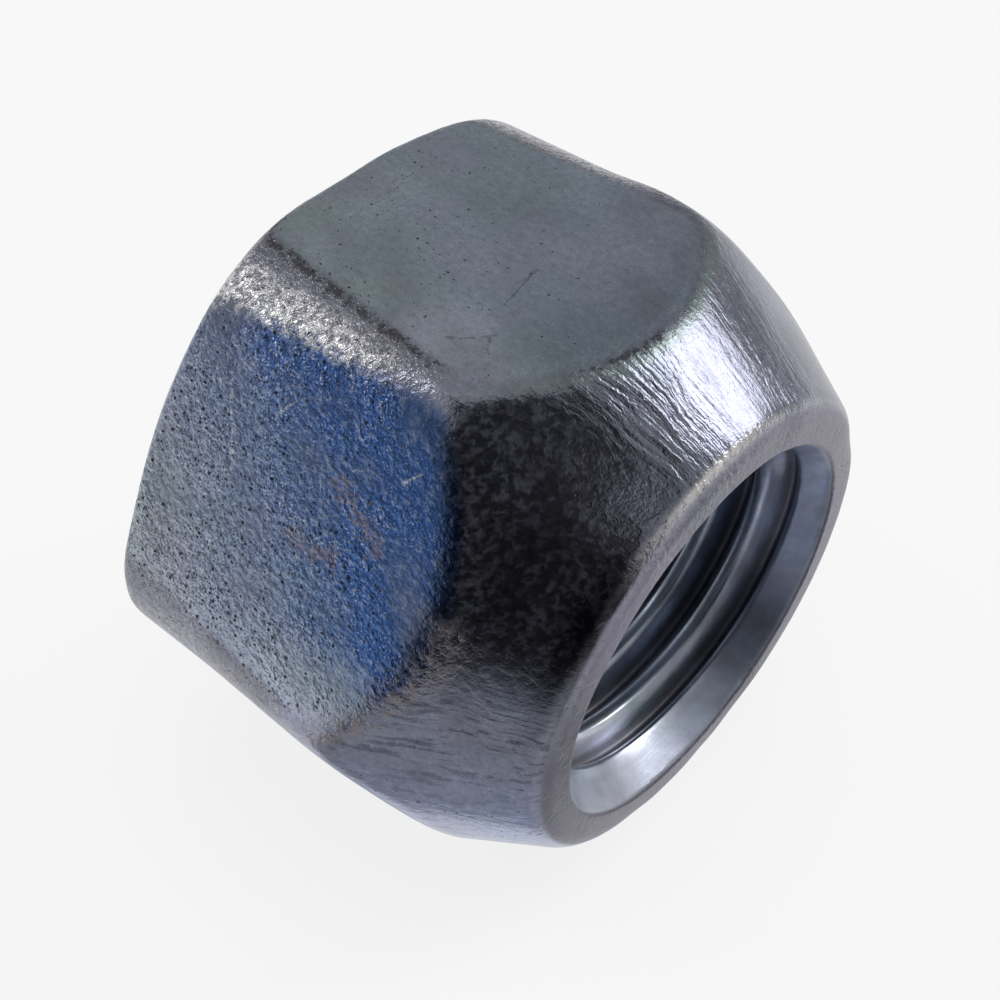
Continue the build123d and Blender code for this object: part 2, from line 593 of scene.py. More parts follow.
# %% shares of the bore
# Painted light and shade round the bore: lighter towards the bottom of the mouth, darker at one other
# place.
BORE_PAINTED_LIGHT_AND_SHADE = [(258, 28, 0.32), (325, 18, -0.15)]
bore_shares = {name: np.zeros(bore_points.shape[:2]) for name in places}
bore_shares["light"] += 1 + sum_near(turned, BORE_PAINTED_LIGHT_AND_SHADE)
bore_shares["blue"] += 0.26 + 0.26 * np.cos(angles - math.radians(25))

# %% attributes of the whole nut
for name, value in places.items():
    whole = np.concatenate([value.ravel(), bore_shares[name].ravel()])[used]
    add_attribute(nut_mesh, name, whole)
add_attribute(nut_mesh, "clouds", soft_clouds(points, waves=60, shortest=1.1 * MM, seed=11))
add_attribute(nut_mesh, "tint", soft_clouds(points, waves=60, shortest=1.6 * MM, seed=12))
in_bore = (used[triangles] >= past_flat.size).any(axis=1)
nut_mesh.polygons.foreach_set("material_index", in_bore.astype(np.int32))
print("faces in the bore", int(in_bore.sum()))

# %% [markdown]
# ## Helpers for shader nodes
# A node tree is easier to read as formulas. Each helper adds a node or two, sets their inputs, and hands
# back the output, so that one helper's result can be the next one's input. Lengths in the materials are
# millimetres: the object's coordinates are multiplied by a thousand first.


# %% node helpers
FLOAT = "NodeSocketFloat"
VECTOR = "NodeSocketVector"
COLOR = "NodeSocketColor"


def put(socket, value):
    """Link a socket to another one, or write a plain value into it."""
    if isinstance(value, bpy.types.NodeSocket):
        socket.id_data.links.new(value, socket)
    else:
        socket.default_value = value


def add_node(tree, kind, inputs, **settings):
    """A new node of this kind, with its settings, and its inputs by name or number."""
    made = tree.nodes.new("ShaderNode" + kind)
    for name, value in settings.items():
        setattr(made, name, value)
    for name, value in inputs.items():
        put(made.inputs[name], value)
    return made


def math_of(tree, operation, first, second=0.0, clamp=False):
    """One Math node: an operation on two numbers, whose result may be kept between 0 and 1."""
    return add_node(tree, "Math", {0: first, 1: second}, operation=operation, use_clamp=clamp).outputs[0]


def times(tree, *factors):
    """The product of several numbers."""
    product = factors[0]
    for factor in factors[1:]:
        product = math_of(tree, "MULTIPLY", product, factor)
    return product


def largest(tree, *values):
    """The largest of several numbers."""
    most = values[0]
    for value in values[1:]:
        most = math_of(tree, "MAXIMUM", most, value)
    return most


def plus(tree, *terms):
    """The sum of several numbers."""
    total = terms[0]
    for term in terms[1:]:
        total = math_of(tree, "ADD", total, term)
    return total


def vector_of(tree, operation, first, second=(0.0, 0.0, 0.0)):
    """One Vector Math node with a vector for its result."""
    return add_node(tree, "VectorMath", {0: first, 1: second}, operation=operation).outputs[0]


def scaled(tree, vector, factor):
    """A vector times a number."""
    return add_node(tree, "VectorMath", {0: vector, "Scale": factor}, operation="SCALE").outputs[0]


def dot_of(tree, first, second):
    """The dot product of two vectors."""
    return add_node(tree, "VectorMath", {0: first, 1: second}, operation="DOT_PRODUCT").outputs["Value"]


def length_of(tree, vector):
    """The length of a vector."""
    return add_node(tree, "VectorMath", {0: vector}, operation="LENGTH").outputs["Value"]


def step(tree, value, low, high):
    """0 at low and 1 at high with a smooth rise between. Low may be the larger of the two."""
    inputs = {"Value": value, "From Min": low, "From Max": high}
    return add_node(tree, "MapRange", inputs, interpolation_type="SMOOTHSTEP").outputs["Result"]


def noise(tree, place, size, detail, roughness=0.5):
    """Soft random values from 0 to 1, with features of about this size."""
    frequency = math_of(tree, "DIVIDE", 1.0, size)
    inputs = {"Vector": place, "Scale": frequency, "Detail": detail, "Roughness": roughness}
    return add_node(tree, "TexNoise", inputs).outputs["Fac"]


def mix(tree, share, first, second):
    """Colours mixed: the first at a share of 0, the second at 1."""
    return add_node(tree, "Mix", {0: share, 6: first, 7: second}, data_type="RGBA").outputs[2]


def covered(tree, color, layers):
    """A colour under several thin layers, each with its share and its colour, the last one on top."""
    for share, layer in layers:
        color = mix(tree, share, color, layer)
    return color


def shader_group(name, inputs, outputs):
    """An empty node group. Hands back the group, its inputs to read from and its outputs to fill."""
    group = bpy.data.node_groups.new(name, "ShaderNodeTree")
    for label, kind in inputs.items():
        group.interface.new_socket(label, in_out="INPUT", socket_type=kind)
    for label, kind in outputs.items():
        group.interface.new_socket(label, in_out="OUTPUT", socket_type=kind)
    start = group.nodes.new("NodeGroupInput")
    end = group.nodes.new("NodeGroupOutput")
    return group, start.outputs, end.inputs


def use_group(tree, group, inputs):
    """A group placed in a material or in another group, with its own values. Hands back its outputs."""
    made = tree.nodes.new("ShaderNodeGroup")
    made.node_tree = group
    for name, value in inputs.items():
        put(made.inputs[name], value)
    return made.outputs


# %% [markdown]
# ## Effects as node groups
# Each effect is a group, so that a material uses it with values of its own. Grain is the fine leathery
# relief of a forged and plated surface, with pits that the plating didn't fill. Scratches are noise drawn
# out along one direction, of which only the peaks show. The colour of the plating wanders between grey,
# blue, a little lavender and a little green, as the thin passivation layer changes its thickness.


# %% stretched places
def make_stretch():
    """Places drawn out along a direction: p - a (p . a) (1 - 1 / times)."""
    group, given, made = shader_group(
        "stretch", {"Place": VECTOR, "Along": VECTOR, "Times": FLOAT}, {"Place": VECTOR}
    )
    dot = dot_of(group, given["Place"], given["Along"])
    share = math_of(group, "SUBTRACT", 1.0, math_of(group, "DIVIDE", 1.0, given["Times"]))
    back_by = scaled(group, given["Along"], times(group, dot, share))
    put(made["Place"], vector_of(group, "SUBTRACT", given["Place"], back_by))
    return group


stretch = make_stretch()


# %% grain and pits
def make_grain():
    """Height of the grain from 0 to 1, and a mask of round pits of mixed sizes.

    A pit is a ball round the point of a Voronoi cell. The cell's chance, above 1 less the share, gives
    its reach, so a larger share makes more pits and larger ones.
    """
    group, given, made = shader_group(
        "forged_grain",
        {"Place": VECTOR, "Size": FLOAT, "Pit Spacing": FLOAT, "Pit Share": FLOAT},
        {"Height": FLOAT, "Pits": FLOAT},
    )
    height = noise(group, given["Place"], given["Size"], 2.0, 0.6)
    put(made["Height"], height)
    wander = scaled(group, height, times(group, given["Pit Spacing"], 1.2))
    frequency = math_of(group, "DIVIDE", 1.0, given["Pit Spacing"])
    shaken = vector_of(group, "ADD", given["Place"], wander)
    cells = add_node(group, "TexVoronoi", {"Vector": shaken, "Scale": frequency})
    chance = add_node(group, "SeparateColor", {0: cells.outputs["Color"]}).outputs[0]
    least = math_of(group, "SUBTRACT", 1.0, given["Pit Share"])
    reach = times(group, step(group, chance, least, 1.1), 0.52)
    pit = step(group, cells.outputs["Distance"], reach, times(group, reach, 0.5))
    put(made["Pits"], times(group, pit, step(group, reach, 0.02, 0.06)))
    return group


grain = make_grain()


# %% scratches
def make_scratches():
    """Thin marks along a direction: the peaks of noise that is drawn out along it."""
    group, given, made = shader_group(
        "scratches",
        {"Place": VECTOR, "Along": VECTOR, "Width": FLOAT, "Times": FLOAT, "Share": FLOAT},
        {"Marks": FLOAT},
    )
    drawn = use_group(
        group, stretch, {"Place": given["Place"], "Along": given["Along"], "Times": given["Times"]}
    )
    value = noise(group, drawn["Place"], given["Width"], 1.0)
    least = math_of(group, "SUBTRACT", 0.80, times(group, given["Share"], 0.3))
    put(made["Marks"], step(group, value, least, math_of(group, "ADD", least, 0.06)))
    return group


scratches = make_scratches()


# %% one long scratch
def make_long_scratch():
    """A single mark from a start to an end, with a ragged edge.

    The share t of the way is the point's distance along the line, clipped to 0..1, and the mark is where
    the point lies nearer to start + t (end - start) than the width. The ragged noise moves that edge.
    """
    group, given, made = shader_group(
        "long_scratch",
        {"Place": VECTOR, "Start": VECTOR, "End": VECTOR, "Width": FLOAT, "Ragged": FLOAT},
        {"Mark": FLOAT},
    )
    line = vector_of(group, "SUBTRACT", given["End"], given["Start"])
    way = vector_of(group, "SUBTRACT", given["Place"], given["Start"])
    share = math_of(group, "DIVIDE", dot_of(group, way, line), dot_of(group, line, line), clamp=True)
    nearest = vector_of(group, "SUBTRACT", way, scaled(group, line, share))
    distance = length_of(group, nearest)
    ragged = times(group, plus(group, given["Ragged"], -0.5), given["Width"], 6.0)
    narrow = times(group, given["Width"], 0.4)
    put(made["Mark"], step(group, plus(group, distance, ragged), given["Width"], narrow))
    return group


long_scratch = make_long_scratch()


def marks_of(tree, place, ragged, width, lines):
    """All marks of one width: the strongest of the long scratches at each point."""
    marks = []
    for start, end in lines:
        inputs = {"Place": place, "Start": start, "End": end, "Width": width, "Ragged": ragged}
        marks.append(use_group(tree, long_scratch, inputs)["Mark"])
    return largest(tree, *marks)


# %% colour of the plating
LAVENDER = (0.40, 0.375, 0.46, 1)
GREENISH = (0.34, 0.41, 0.41, 1)


def make_plating():
    """Steel grey with blue where the amount says: full in the grain's valleys, less on its ridges.

    The clouds take the blue up and down. Where the tint is low the grey turns to lavender, and where it
    is high it turns to green.
    """
    group, given, made = shader_group(
        "plating_color",
        {"Steel": COLOR, "Blue": COLOR, "Amount": FLOAT, "Height": FLOAT, "Clouds": FLOAT, "Tint": FLOAT},
        {"Color": COLOR},
    )
    ridge = step(group, given["Height"], 0.46, 0.66)
    cloudy = times(group, plus(group, given["Clouds"], -0.5), 0.5)
    change = plus(group, 1.0, times(group, ridge, -0.25), cloudy)
    amount = math_of(group, "MULTIPLY", given["Amount"], change, clamp=True)
    lavender = times(group, step(group, given["Tint"], 0.48, 0.25), 0.35)
    greenish = times(group, step(group, given["Tint"], 0.52, 0.75), 0.5)
    layers = [(lavender, LAVENDER), (greenish, GREENISH), (amount, given["Blue"])]
    put(made["Color"], covered(group, given["Steel"], layers))
    return group


plating = make_plating()
print("groups", [group.name for group in bpy.data.node_groups])

# %% [markdown]
# ## Metal finishes
# Zinc with a blue passivation is a metal finish, so both shaders are metallic and the colour is the tint
# of the reflections. Both start the same way, with a place in millimetres and the mesh's attributes.


# %% start of a metal finish
def new_material(name):
    """A new material. Hands back it, its tree and its shader."""
    material = bpy.data.materials.new(name)
    material.use_nodes = True
    return material, material.node_tree, material.node_tree.nodes["Principled BSDF"]


def metal_finish(name):
    """A fully metallic material. Hands back it, its tree, its shader and the place in millimetres."""
    material, tree, shader = new_material(name)
    shader.inputs["Metallic"].default_value = 1.0
    coordinates = tree.nodes.new("ShaderNodeTexCoord")
    return material, tree, shader, scaled(tree, coordinates.outputs["Object"], 1 / MM)


def read_attributes(tree, names):
    """The mesh's attributes of these names, as numbers to work with."""
    return {name: add_node(tree, "Attribute", {}, attribute_name=name).outputs["Fac"] for name in names}


def put_relief(tree, shader, height):
    """A relief, given as its height in millimetres, as the shader's normal."""
    bump = add_node(tree, "Bump", {"Height": height, "Distance": MM, "Strength": 1.0})
    put(shader.inputs["Normal"], bump.outputs["Normal"])


# %% places round the axis
def along_and_across(tree, place):
    """A place as a number along the nut's axis and a vector across it."""
    parts = add_node(tree, "SeparateXYZ", {0: place}).outputs
    return parts[0], add_node(tree, "CombineXYZ", {"Y": parts[1], "Z": parts[2]}).outputs[0]


def around_place(tree, place, radius, times_along):
    """The place moved to this radius from the axis, and drawn out this many times along the axis."""
    along, across = along_and_across(tree, place)
    around = scaled(tree, vector_of(tree, "NORMALIZE", across), radius)
    drawn = add_node(tree, "CombineXYZ", {"X": math_of(tree, "DIVIDE", along, times_along)}).outputs[0]
    return vector_of(tree, "ADD", around, drawn)


# %% [markdown]
# ## The relief of the skin
# The flats carry the forging's grain, drawn out a little along one direction. The corners are crumpled
# where the wrench pressed, and the seat has streaks that run from the shoulder to the rim. The colours use
# these few noises as well, so that colour and relief belong together.


# %% relief of the skin
GRAIN_ALONG = (0.93, -0.18, -0.32)


def skin_relief(tree, place, skin):
    """The noises that the skin is made of, by name. Grain and pits come and go with the clouds.

    The height is the grain's own. Crumpled is a rougher noise that the height shifts. Streaks are noise
    drawn out along the axis, which the height and the clouds bend. Speckle is the finest.
    """
    uneven = plus(tree, 0.40, times(tree, skin["clouds"], 1.2))
    pitted = times(tree, skin["pitted"], uneven)
    drawn = use_group(tree, stretch, {"Place": place, "Along": GRAIN_ALONG, "Times": 1.35})["Place"]
    inputs = {"Place": drawn, "Size": 0.19, "Pit Spacing": 0.12, "Pit Share": pitted}
    made = use_group(tree, grain, inputs)
    height = made["Height"]
    shaken = vector_of(tree, "ADD", place, scaled(tree, height, 0.30))
    wander = plus(tree, times(tree, height, 0.13), times(tree, skin["clouds"], 0.38))
    wavy = vector_of(tree, "ADD", around_place(tree, place, 8.5, 6.5), wander)
    return {
        "coarse": times(tree, skin["coarse"], uneven),
        "height": height,
        "pits": made["Pits"],
        "crumpled": noise(tree, shaken, 0.23, 2.0, 0.7),
        "streaks": noise(tree, wavy, 0.21, 2.0, 0.5),
        "speckle": noise(tree, place, 0.06, 1.0),
    }


def skin_depth(tree, skin, relief):
    """Height of the relief in millimetres: grain, crumpled corners and edges, and streaks."""
    crumple = plus(tree, times(tree, skin["corner"], 0.085), times(tree, skin["worn_and_highlight"], 0.03), 0.010)
    crumple = plus(tree, crumple, times(tree, skin["rust"], 0.04))
    grained = times(tree, relief["coarse"], relief["height"], 0.075)
    streaked = times(tree, relief["streaks"], skin["streaky"], 0.050)
    return plus(tree, grained, times(tree, crumple, relief["crumpled"]), streaked)


# %% [markdown]
# ## The colour of the skin
# Seen close, the coating is never one colour: it is darker in the grain's hollows, paler on its ridges,
# and mottled between. Its brightness comes from the light attribute, which is painted light and shade, the
# noises and the seat's streaks.


# %% colour of the skin
# The seat's grey is darker than the flats': painted shade, which keeps the seat's reflections dark.
FLAT_STEEL = (0.33, 0.38, 0.425, 1)
SHADED_SEAT_STEEL = (0.30, 0.315, 0.368, 1)
DEEP_BLUE = (0.05, 0.12, 0.33, 1)
HOLLOW = (0.06, 0.08, 0.13, 1)
RIDGE = (0.46, 0.50, 0.58, 1)


def plated_color(tree, skin, relief):
    """The coating's colour, with hollows and ridges, its grey on the seat darkened as painted shade. Off
    the flats the tint gives less green.
    """
    steel = mix(tree, skin["flat"], SHADED_SEAT_STEEL, FLAT_STEEL)
    less_green = plus(tree, 0.62, times(tree, skin["flat"], 0.38), times(tree, skin["coarse"], -0.30))
    inputs = {"Steel": steel, "Blue": DEEP_BLUE, "Amount": skin["blue"], "Height": relief["height"]}
    inputs |= {"Clouds": skin["clouds"], "Tint": times(tree, skin["tint"], less_green)}
    color = use_group(tree, plating, inputs)["Color"]
    hollows = times(tree, relief["coarse"], step(tree, relief["height"], 0.46, 0.32), 0.40)
    ridges = times(tree, relief["coarse"], step(tree, relief["height"], 0.56, 0.72), 0.20)
    return covered(tree, color, [(hollows, HOLLOW), (ridges, RIDGE)])


def skin_shade(tree, skin, relief):
    """How bright the coating is: mottled all over, more so off the flats, brushed on the seat, times the
    painted light and shade.
    """
    off_flat = math_of(tree, "SUBTRACT", 1.0, skin["flat"])
    mottled = times(tree, off_flat, plus(tree, relief["crumpled"], -0.5), 0.55)
    brushed = times(tree, skin["streaky"], step(tree, relief["streaks"], 0.52, 0.66), -0.45)
    shade = plus(tree, 0.46, times(tree, relief["speckle"], 0.44), times(tree, skin["clouds"], 0.28))
    shade = plus(tree, shade, times(tree, relief["height"], 0.36))
    return times(tree, plus(tree, shade, mottled, brushed), skin["light"])


# %% [markdown]
# ## Wear and dirt on the skin
# A wrench rubs the zinc bright on the crumpled corner's high places. The rim is a warmer, darker grey,
# partly its own and partly painted shade, with a painted highlight over a faint worn line at its edge. A
# green deposit, brown dust and a dark line lie over that in the borders of the flats.
# Each is a share and a colour, laid one over the other, and the noises make their edges ragged.


# %% wear and dirt
BARE_ZINC = (0.92, 0.92, 0.93, 1)
# The rim's grey is partly the rim's own duller grey and partly painted shade; the light attribute paints
# one side of it lighter.
SHADED_RIM_GREY = (0.225, 0.217, 0.262)
WORN_AND_HIGHLIGHT_ZINC = (0.90, 0.87, 0.84, 1)
GREEN_DEPOSIT = (0.26, 0.34, 0.30, 1)
BROWN_DUST = (0.33, 0.29, 0.28, 1)
BORDER_BLACK = (0.05, 0.05, 0.055, 1)


def wear_masks(tree, skin, relief):
    """Shares of rubbed skin, the rim's painted highlight, rust and dark lines, each cut ragged by the
    crumpled noise.
    """
    crumpled = relief["crumpled"]
    high_places = plus(tree, 0.12, times(tree, step(tree, crumpled, 0.44, 0.55), 0.88))
    ragged = step(tree, plus(tree, skin["dark_line"], times(tree, crumpled, 1.8)), 1.30, 1.60)
    return {
        "rubbed": times(tree, skin["polish"], high_places),
        "worn_and_highlight": times(tree, skin["worn_and_highlight"], step(tree, crumpled, 0.26, 0.42)),
        "rust": times(tree, skin["rust"], step(tree, crumpled, 0.35, 0.62)),
        "dark_border": plus(tree, times(tree, skin["dark_line"], 0.20), times(tree, ragged, 0.68)),
    }


def weathered(tree, color, skin, masks):
    """The coating's colour under its wear, stains and dark lines, the rim's painted grey and painted
    highlight.
    """
    layers = [
        (masks["rubbed"], BARE_ZINC),
        (times(tree, skin["rim"], 0.65), scaled(tree, SHADED_RIM_GREY, skin["light"])),
        (masks["worn_and_highlight"], WORN_AND_HIGHLIGHT_ZINC),
        (times(tree, skin["green"], 0.55), GREEN_DEPOSIT),
        (times(tree, masks["rust"], 0.8), BROWN_DUST),
        (masks["dark_border"], BORDER_BLACK),
    ]
    return covered(tree, color, layers)


# %% [markdown]
# ## Small marks
# Nicks, specks, pits and dots are placed by noise. The few marks that catch the eye are lines given one by
# one, in millimetres: short cracks on the top flat, brown scuffs on the blue one, and gouges at the corner
# and on the rim.

# %% lines given one by one
CRACK_WIDTH = 0.045
CRACKS = [
    ((0.37, -0.20, 9.48), (0.78, -1.97, 9.48)),
    ((0.58, -4.00, 9.48), (1.07, -3.60, 9.48)),
    ((1.07, -3.60, 9.48), (1.44, -3.04, 9.48)),
    ((1.36, -3.20, 9.48), (1.73, -3.75, 9.48)),
]
SCUFF_WIDTH = 0.32
SCUFFS = [
    ((0.13, -7.42, 6.10), (1.10, -7.60, 5.80)),
    ((1.10, -7.60, 5.80), (1.65, -7.80, 5.46)),
    ((-0.84, -8.38, 4.44), (0.64, -8.34, 4.51)),
]
GOUGE_WIDTH = 0.05
GOUGES = [
    ((-4.47, -7.03, 6.79), (-4.00, -7.50, 5.98)),
    ((-3.90, -7.60, 5.80), (-3.44, -8.14, 4.87)),
    ((2.20, -6.60, 7.55), (1.80, -6.85, 7.12)),
    ((-2.20, -6.75, 7.29), (-2.60, -7.05, 6.77)),
    ((7.62, -5.70, 4.80), (7.66, -5.40, 5.10)),
    ((7.60, 0.64, -6.25), (7.70, 2.20, -5.95)),
]
print("cracks, scuffs and gouges", len(CRACKS), len(SCUFFS), len(GOUGES))


# %% light and dark marks
NICK_SETS = [((0.35, -0.55, -0.76), 0.06, 0.36), ((0.80, 0.30, 0.52), 0.06, 0.33)]


def light_marks_of(tree, place, skin, relief):
    """The strongest of the nicks, the gouges and the pale specks, which need grain and high clouds."""
    nicks = []
    for way, width, share in NICK_SETS:
        inputs = {"Place": place, "Along": way, "Width": width, "Times": 6.0, "Share": share}
        nicks.append(use_group(tree, scratches, inputs)["Marks"])
    nicked = times(tree, largest(tree, *nicks), skin["coarse"])
    gouged = marks_of(tree, place, relief["crumpled"], GOUGE_WIDTH, GOUGES)
    cloudy = step(tree, skin["clouds"], 0.30, 0.75)
    specks = times(tree, skin["coarse"], cloudy, step(tree, relief["speckle"], 0.60, 0.72))
    return largest(tree, times(tree, nicked, 0.45), times(tree, gouged, 0.5), times(tree, specks, 0.75))


def dark_marks_of(tree, place, relief):
    """The strongest of the pits, the cracks and the fine dots of the grain."""
    cracked = marks_of(tree, place, relief["crumpled"], CRACK_WIDTH, CRACKS)
    dots = times(tree, relief["coarse"], step(tree, relief["speckle"], 0.38, 0.28))
    pitted = times(tree, relief["pits"], 0.9)
    return largest(tree, pitted, times(tree, cracked, 0.36), times(tree, dots, 0.8))


# %% [markdown]
# ## The forged and plated skin
# Now the parts come together. Where dust lies, where the skin is rusty, and along the rim's painted
# highlight and worn line, it is a little less metallic, and dark marks are rougher than the coating.


# %% skin material
SCUFF_BROWN = (0.23, 0.20, 0.235, 1)
PALE_MARK = (0.64, 0.67, 0.72, 1)
PIT_BLACK = (0.025, 0.03, 0.04, 1)


def forged_zinc():
    """The skin: grain and blue on the flats, streaks on the seat, bright rubbed corners, the rim's painted
    highlight.
    """
    material, tree, shader, place = metal_finish("forged_zinc")
    skin = read_attributes(tree, [*places, "clouds", "tint"])
    relief = skin_relief(tree, place, skin)
    masks = wear_masks(tree, skin, relief)
    scuffs = times(tree, marks_of(tree, place, relief["crumpled"], SCUFF_WIDTH, SCUFFS), 0.55)
    light_marks = light_marks_of(tree, place, skin, relief)
    dark_marks = dark_marks_of(tree, place, relief)

    color = scaled(tree, plated_color(tree, skin, relief), skin_shade(tree, skin, relief))
    color = weathered(tree, color, skin, masks)
    marks = [(scuffs, SCUFF_BROWN), (light_marks, PALE_MARK), (dark_marks, PIT_BLACK)]
    put(shader.inputs["Base Color"], covered(tree, color, marks))

    roughness = plus(tree, skin["matt"], times(tree, relief["height"], 0.05), times(tree, dark_marks, 0.25))
    put(shader.inputs["Roughness"], roughness)
    dusty = step(tree, relief["crumpled"], 0.46, 0.62)
    dust = times(tree, dusty, plus(tree, 0.03, times(tree, skin["clouds"], 0.06)))
    dust = plus(tree, dust, times(tree, masks["rust"], 0.25), times(tree, masks["worn_and_highlight"], 0.40))
    put(shader.inputs["Metallic"], math_of(tree, "SUBTRACT", 1.0, dust))
    put_relief(tree, shader, skin_depth(tree, skin, relief))
    return material


nut_mesh.materials.append(forged_zinc())
print("skin nodes", len(nut_mesh.materials[0].node_tree.nodes))

# %% [markdown]
# ## The tapped bore
# The tap cut clean metal, and the plating followed it, so the thread is smoother than the skin, with fine
# lines round the axis where the tool turned. The roots are darkened with painted shade, and the bore's zinc
# is painted lighter than the skin's.


# %% bore material
# The bore's zinc is a lighter copy of the skin's, and the thread's lighter still: painted light inside the
# bore.
LIGHTENED_THREAD_STEEL = (0.56, 0.59, 0.64, 1)
LIGHTENED_COUNTERSINK_STEEL = (0.455, 0.485, 0.545, 1)
BORE_BLUE = (0.17, 0.25, 0.50, 1)
BRIGHT_CREST = (0.76, 0.84, 0.92, 1)
ROOT_PAINTED_SHADE = (0.13, 0.115, 0.135, 1)
BORE_PIT = (0.06, 0.06, 0.07, 1)


def thread_masks(tree, place):
    """Shares of thread, roots and crests, by the distance from the nut's middle and from its axis.

    Within 6.4 mm of the middle all is thread. Roots start at a radius of 5.7 mm, and crests end at 5.34.
    """
    along, across = along_and_across(tree, place)
    radius = length_of(tree, across)
    inside = step(tree, math_of(tree, "ABSOLUTE", along), 7.0, 6.4)
    root = times(tree, step(tree, radius, 5.70, 5.92), inside)
    crest = times(tree, step(tree, radius, 5.34, 5.22), inside)
    return inside, root, crest


def tapped_zinc():
    """The bore: blue-grey zinc with fine turning lines round the axis, dark towards the roots."""
    material, tree, shader, place = metal_finish("tapped_zinc")
    bore = read_attributes(tree, ["clouds", "tint", "blue", "light"])
    relief = use_group(tree, grain, {"Place": place, "Size": 0.5, "Pit Spacing": 0.3, "Pit Share": 0.04})
    lines = noise(tree, around_place(tree, place, 0.8, 0.5), 0.12, 2.0, 0.5)
    inside, root, crest = thread_masks(tree, place)

    steel = mix(tree, inside, LIGHTENED_COUNTERSINK_STEEL, LIGHTENED_THREAD_STEEL)
    inputs = {"Steel": steel, "Blue": BORE_BLUE, "Amount": bore["blue"]}
    inputs |= {"Height": relief["Height"], "Clouds": bore["clouds"], "Tint": bore["tint"]}
    color = use_group(tree, plating, inputs)["Color"]
    # The roots get painted shade.
    layers = [
        (times(tree, crest, 0.3), BRIGHT_CREST),
        (times(tree, root, 0.70), ROOT_PAINTED_SHADE),
        (times(tree, relief["Pits"], 0.5), BORE_PIT),
    ]
    mottled = plus(tree, 0.60, times(tree, bore["clouds"], 0.50), times(tree, relief["Height"], 0.30))
    # The bore's light attribute is painted light and shade.
    shade = times(tree, bore["light"], mottled)
    put(shader.inputs["Base Color"], scaled(tree, covered(tree, color, layers), shade))

    smooth = times(tree, inside, -0.10)
    roughness = plus(tree, 0.38, smooth, times(tree, lines, 0.08), times(tree, root, 0.2))
    put(shader.inputs["Roughness"], roughness)
    put_relief(tree, shader, plus(tree, times(tree, lines, 0.003), times(tree, relief["Height"], 0.008)))
    return material


nut_mesh.materials.append(tapped_zinc())
print("bore nodes", len(nut_mesh.materials[1].node_tree.nodes))

# %% [markdown]
# ## Light
# A large soft light stands behind the nut, and its reflection is the white patch on the cone. A weaker one
# on the left lights the corner between the two flats. Both are area lamps, as the size of a lamp is what
# makes its reflection soft. The lamp overhead brightens the floor and is kept out of the reflections.


# %% softboxes
def direction(azimuth, elevation):
    """Unit vector at this azimuth, from -Y towards +X, and this height over the horizon, in degrees."""
    around = math.radians(azimuth)
    up = math.radians(elevation)
    return Vector((math.sin(around) * math.cos(up), -math.cos(around) * math.cos(up), math.sin(up)))


def softbox(name, azimuth, elevation, distance, width, depth, brightness):
    """A rectangular lamp that faces the nut. Its power is its brightness times its area times pi."""
    lamp = bpy.data.lights.new(name, "AREA")
    lamp.shape = "RECTANGLE"
    lamp.size = width
    lamp.size_y = depth
    lamp.energy = brightness * width * depth * math.pi
    box = bpy.data.objects.new(name, lamp)
    towards = direction(azimuth, elevation)
    box.location = towards * distance
    box.rotation_euler = towards.to_track_quat("Z", "Y").to_euler()
    box.visible_camera = False
    bpy.context.scene.collection.objects.link(box)
    return box


softbox("key_softbox", 156, 36, distance=0.9, width=0.36, depth=0.44, brightness=3.6)
softbox("fill_softbox", -60, 39, distance=0.9, width=0.26, depth=0.30, brightness=2.8)
top_softbox = softbox("top_softbox", 0, 90, distance=1.2, width=0.8, depth=0.8, brightness=2.0)
top_softbox.visible_glossy = False
print("lamps", [light.name for light in bpy.data.lights])

# %% [markdown]
# ## Floor
# The nut lies on matt white paper. In this light plain paper would come out grey, so the camera and the
# metal see a share of pure white mixed in. The rest is the paper's own shading, which keeps the shadow.


# %% floor
def plane(name, half_width, height):
    """A square of this half width at this height."""
    mesh = bpy.data.meshes.new(name)
    corners = [(-1, -1), (1, -1), (1, 1), (-1, 1)]
    mesh.from_pydata([(x * half_width, y * half_width, height) for x, y in corners], [], [(0, 1, 2, 3)])
    made = bpy.data.objects.new(name, mesh)
    bpy.context.scene.collection.objects.link(made)
    return made


def plain_paper(name, color, roughness):
    """Matt paper of one colour. Hands back the material, its tree and its shader."""
    material, tree, shader = new_material(name)
    shader.inputs["Base Color"].default_value = color
    shader.inputs["Roughness"].default_value = roughness
    return material, tree, shader


# %% floor paper
PAPER_WHITE = (0.86, 0.86, 0.87, 1)


def pale_paper(name, color, paler):
    """Matt white paper that a camera or a metal sees paler by this share, with its shadows kept."""
    material, tree, shader = plain_paper(name, color, 0.9)
    material.cycles.emission_sampling = "NONE"
    white = tree.nodes.new("ShaderNodeEmission")
    path = tree.nodes.new("ShaderNodeLightPath").outputs
    seen = largest(tree, path["Is Camera Ray"], path["Is Glossy Ray"], path["Is Transmission Ray"])
    inputs = {0: times(tree, seen, paler), 1: shader.outputs["BSDF"], 2: white.outputs["Emission"]}
    both = add_node(tree, "MixShader", inputs)
    put(tree.nodes["Material Output"].inputs["Surface"], both.outputs[0])
    return material


floor = plane("floor", 2.0, lowest.z)
floor.data.materials.append(pale_paper("pale_floor", PAPER_WHITE, paler=0.82))
print("floor at", round(lowest.z / MM, 3), "mm")

# %% [markdown]
# ## Cards
# Polished metal shows what stands around it. A photographer darkens one side of such a nut with a black
# card held close to it, which makes the dark face of the cone. Two grey cards lie on the floor, where the
# lower half of the cone looks. Only reflections see them, so they throw no shadow.


# %% cards
CARD_GREY = (0.60, 0.60, 0.62, 1)
CARD_ROUGHNESS = 0.95


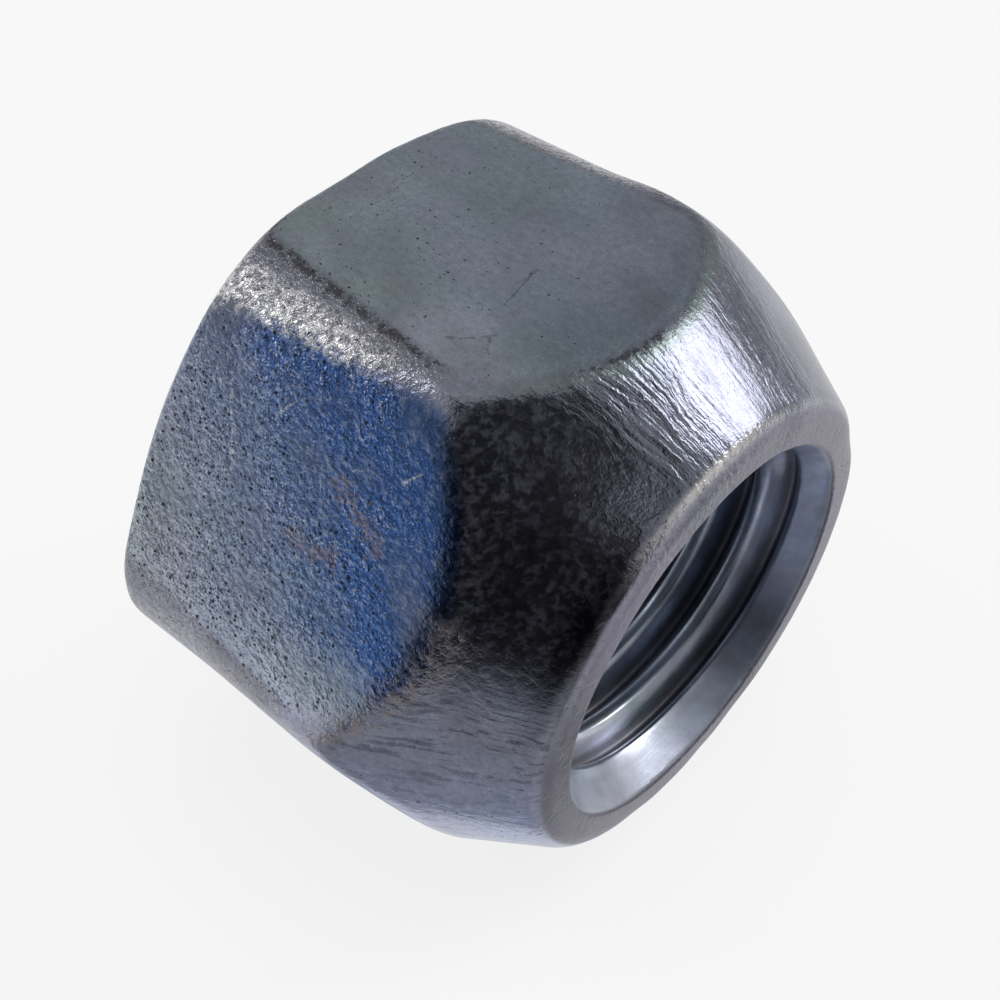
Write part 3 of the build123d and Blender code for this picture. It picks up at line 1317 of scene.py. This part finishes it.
def card_mesh(name, around, up, distance):
    """A patch of a surface round the nut: grids of azimuths and heights in degrees, and of distances."""
    around = np.radians(around)
    up = np.radians(up)
    distance = np.broadcast_to(distance, around.shape)[..., None]
    ways = np.stack([np.sin(around) * np.cos(up), -np.cos(around) * np.cos(up), np.sin(up)], axis=-1)
    faces = grid_faces(np.arange(around.size).reshape(around.shape).T)
    mesh = bpy.data.meshes.new(name)
    mesh.from_pydata((distance * ways).reshape(-1, 3).tolist(), [], faces.tolist())
    card = bpy.data.objects.new(name, mesh)
    card.visible_camera = False
    card.visible_diffuse = False
    card.visible_shadow = False
    bpy.context.scene.collection.objects.link(card)
    return card


def faded_paper(name, low_color, high_color, low, high):
    """Matt paper that goes from one grey to another between two heights, in millimetres."""
    material, tree, shader = plain_paper(name, low_color, CARD_ROUGHNESS)
    place = tree.nodes.new("ShaderNodeTexCoord").outputs["Object"]
    height = add_node(tree, "SeparateXYZ", {0: scaled(tree, place, 1 / MM)}).outputs[2]
    put(shader.inputs["Base Color"], mix(tree, step(tree, height, low, high), low_color, high_color))
    return material


# %% dark card
CARD_BLACK = (0.008, 0.008, 0.01, 1)
dark_distance = 32 * MM
dark_start = -4
dark_width = 70
dark_lowest = -17
dark_highest = 68
up_steps = np.linspace(dark_lowest, dark_highest, 30)
share, dark_up = np.meshgrid(np.linspace(0, 1, 20), up_steps, indexing="ij")
# All in degrees. The card is wider below and above than at the height of the cone's dark face.
widened = 22 * (1 - smooth_step(dark_up, 22, 34)) + 27 * smooth_step(dark_up, 45, 56)
dark_around = dark_start + share * (dark_width + widened)
dark_card = card_mesh("dark_card", dark_around, dark_up, dark_distance)
dark_card.data.materials.append(faded_paper("dark_paper", CARD_GREY, CARD_BLACK, -5.0, 3.0))
print("dark card", len(dark_card.data.polygons), "faces")


# %% grey cards on the floor
def floor_card(name, first_around, last_around, grey):
    """A sector of a ring on the floor, between two azimuths in degrees, of one grey."""
    around_steps = np.linspace(first_around, last_around, 20)
    reach_steps = np.linspace(11, 80, 20) * MM
    around, reach = np.meshgrid(around_steps, reach_steps, indexing="ij")
    above_floor = lowest.z + 0.1 * MM
    up = np.degrees(np.arctan2(above_floor, reach))
    card = card_mesh(name + "_card", around, up, np.hypot(reach, above_floor))
    card.data.materials.append(plain_paper(name + "_paper", grey, CARD_ROUGHNESS)[0])
    print(name, "card from", first_around, "to", last_around, "degrees")


CARD_DIM = (0.26, 0.26, 0.27, 1)
floor_card("grey", -5, 80, CARD_GREY)
floor_card("dim", 81.5, 124, CARD_DIM)

# %% [markdown]
# ## Room
# Everything else that the metal could reflect is a plain grey room.

# %% world
ROOM_GREY = (0.36, 0.36, 0.365, 1)
world = bpy.data.worlds.new("studio")
world.use_nodes = True
world.node_tree.nodes["Background"].inputs["Color"].default_value = ROOM_GREY
world.node_tree.nodes["Background"].inputs["Strength"].default_value = 1.0
bpy.context.scene.world = world
bpy.context.scene.view_settings.view_transform = "Standard"
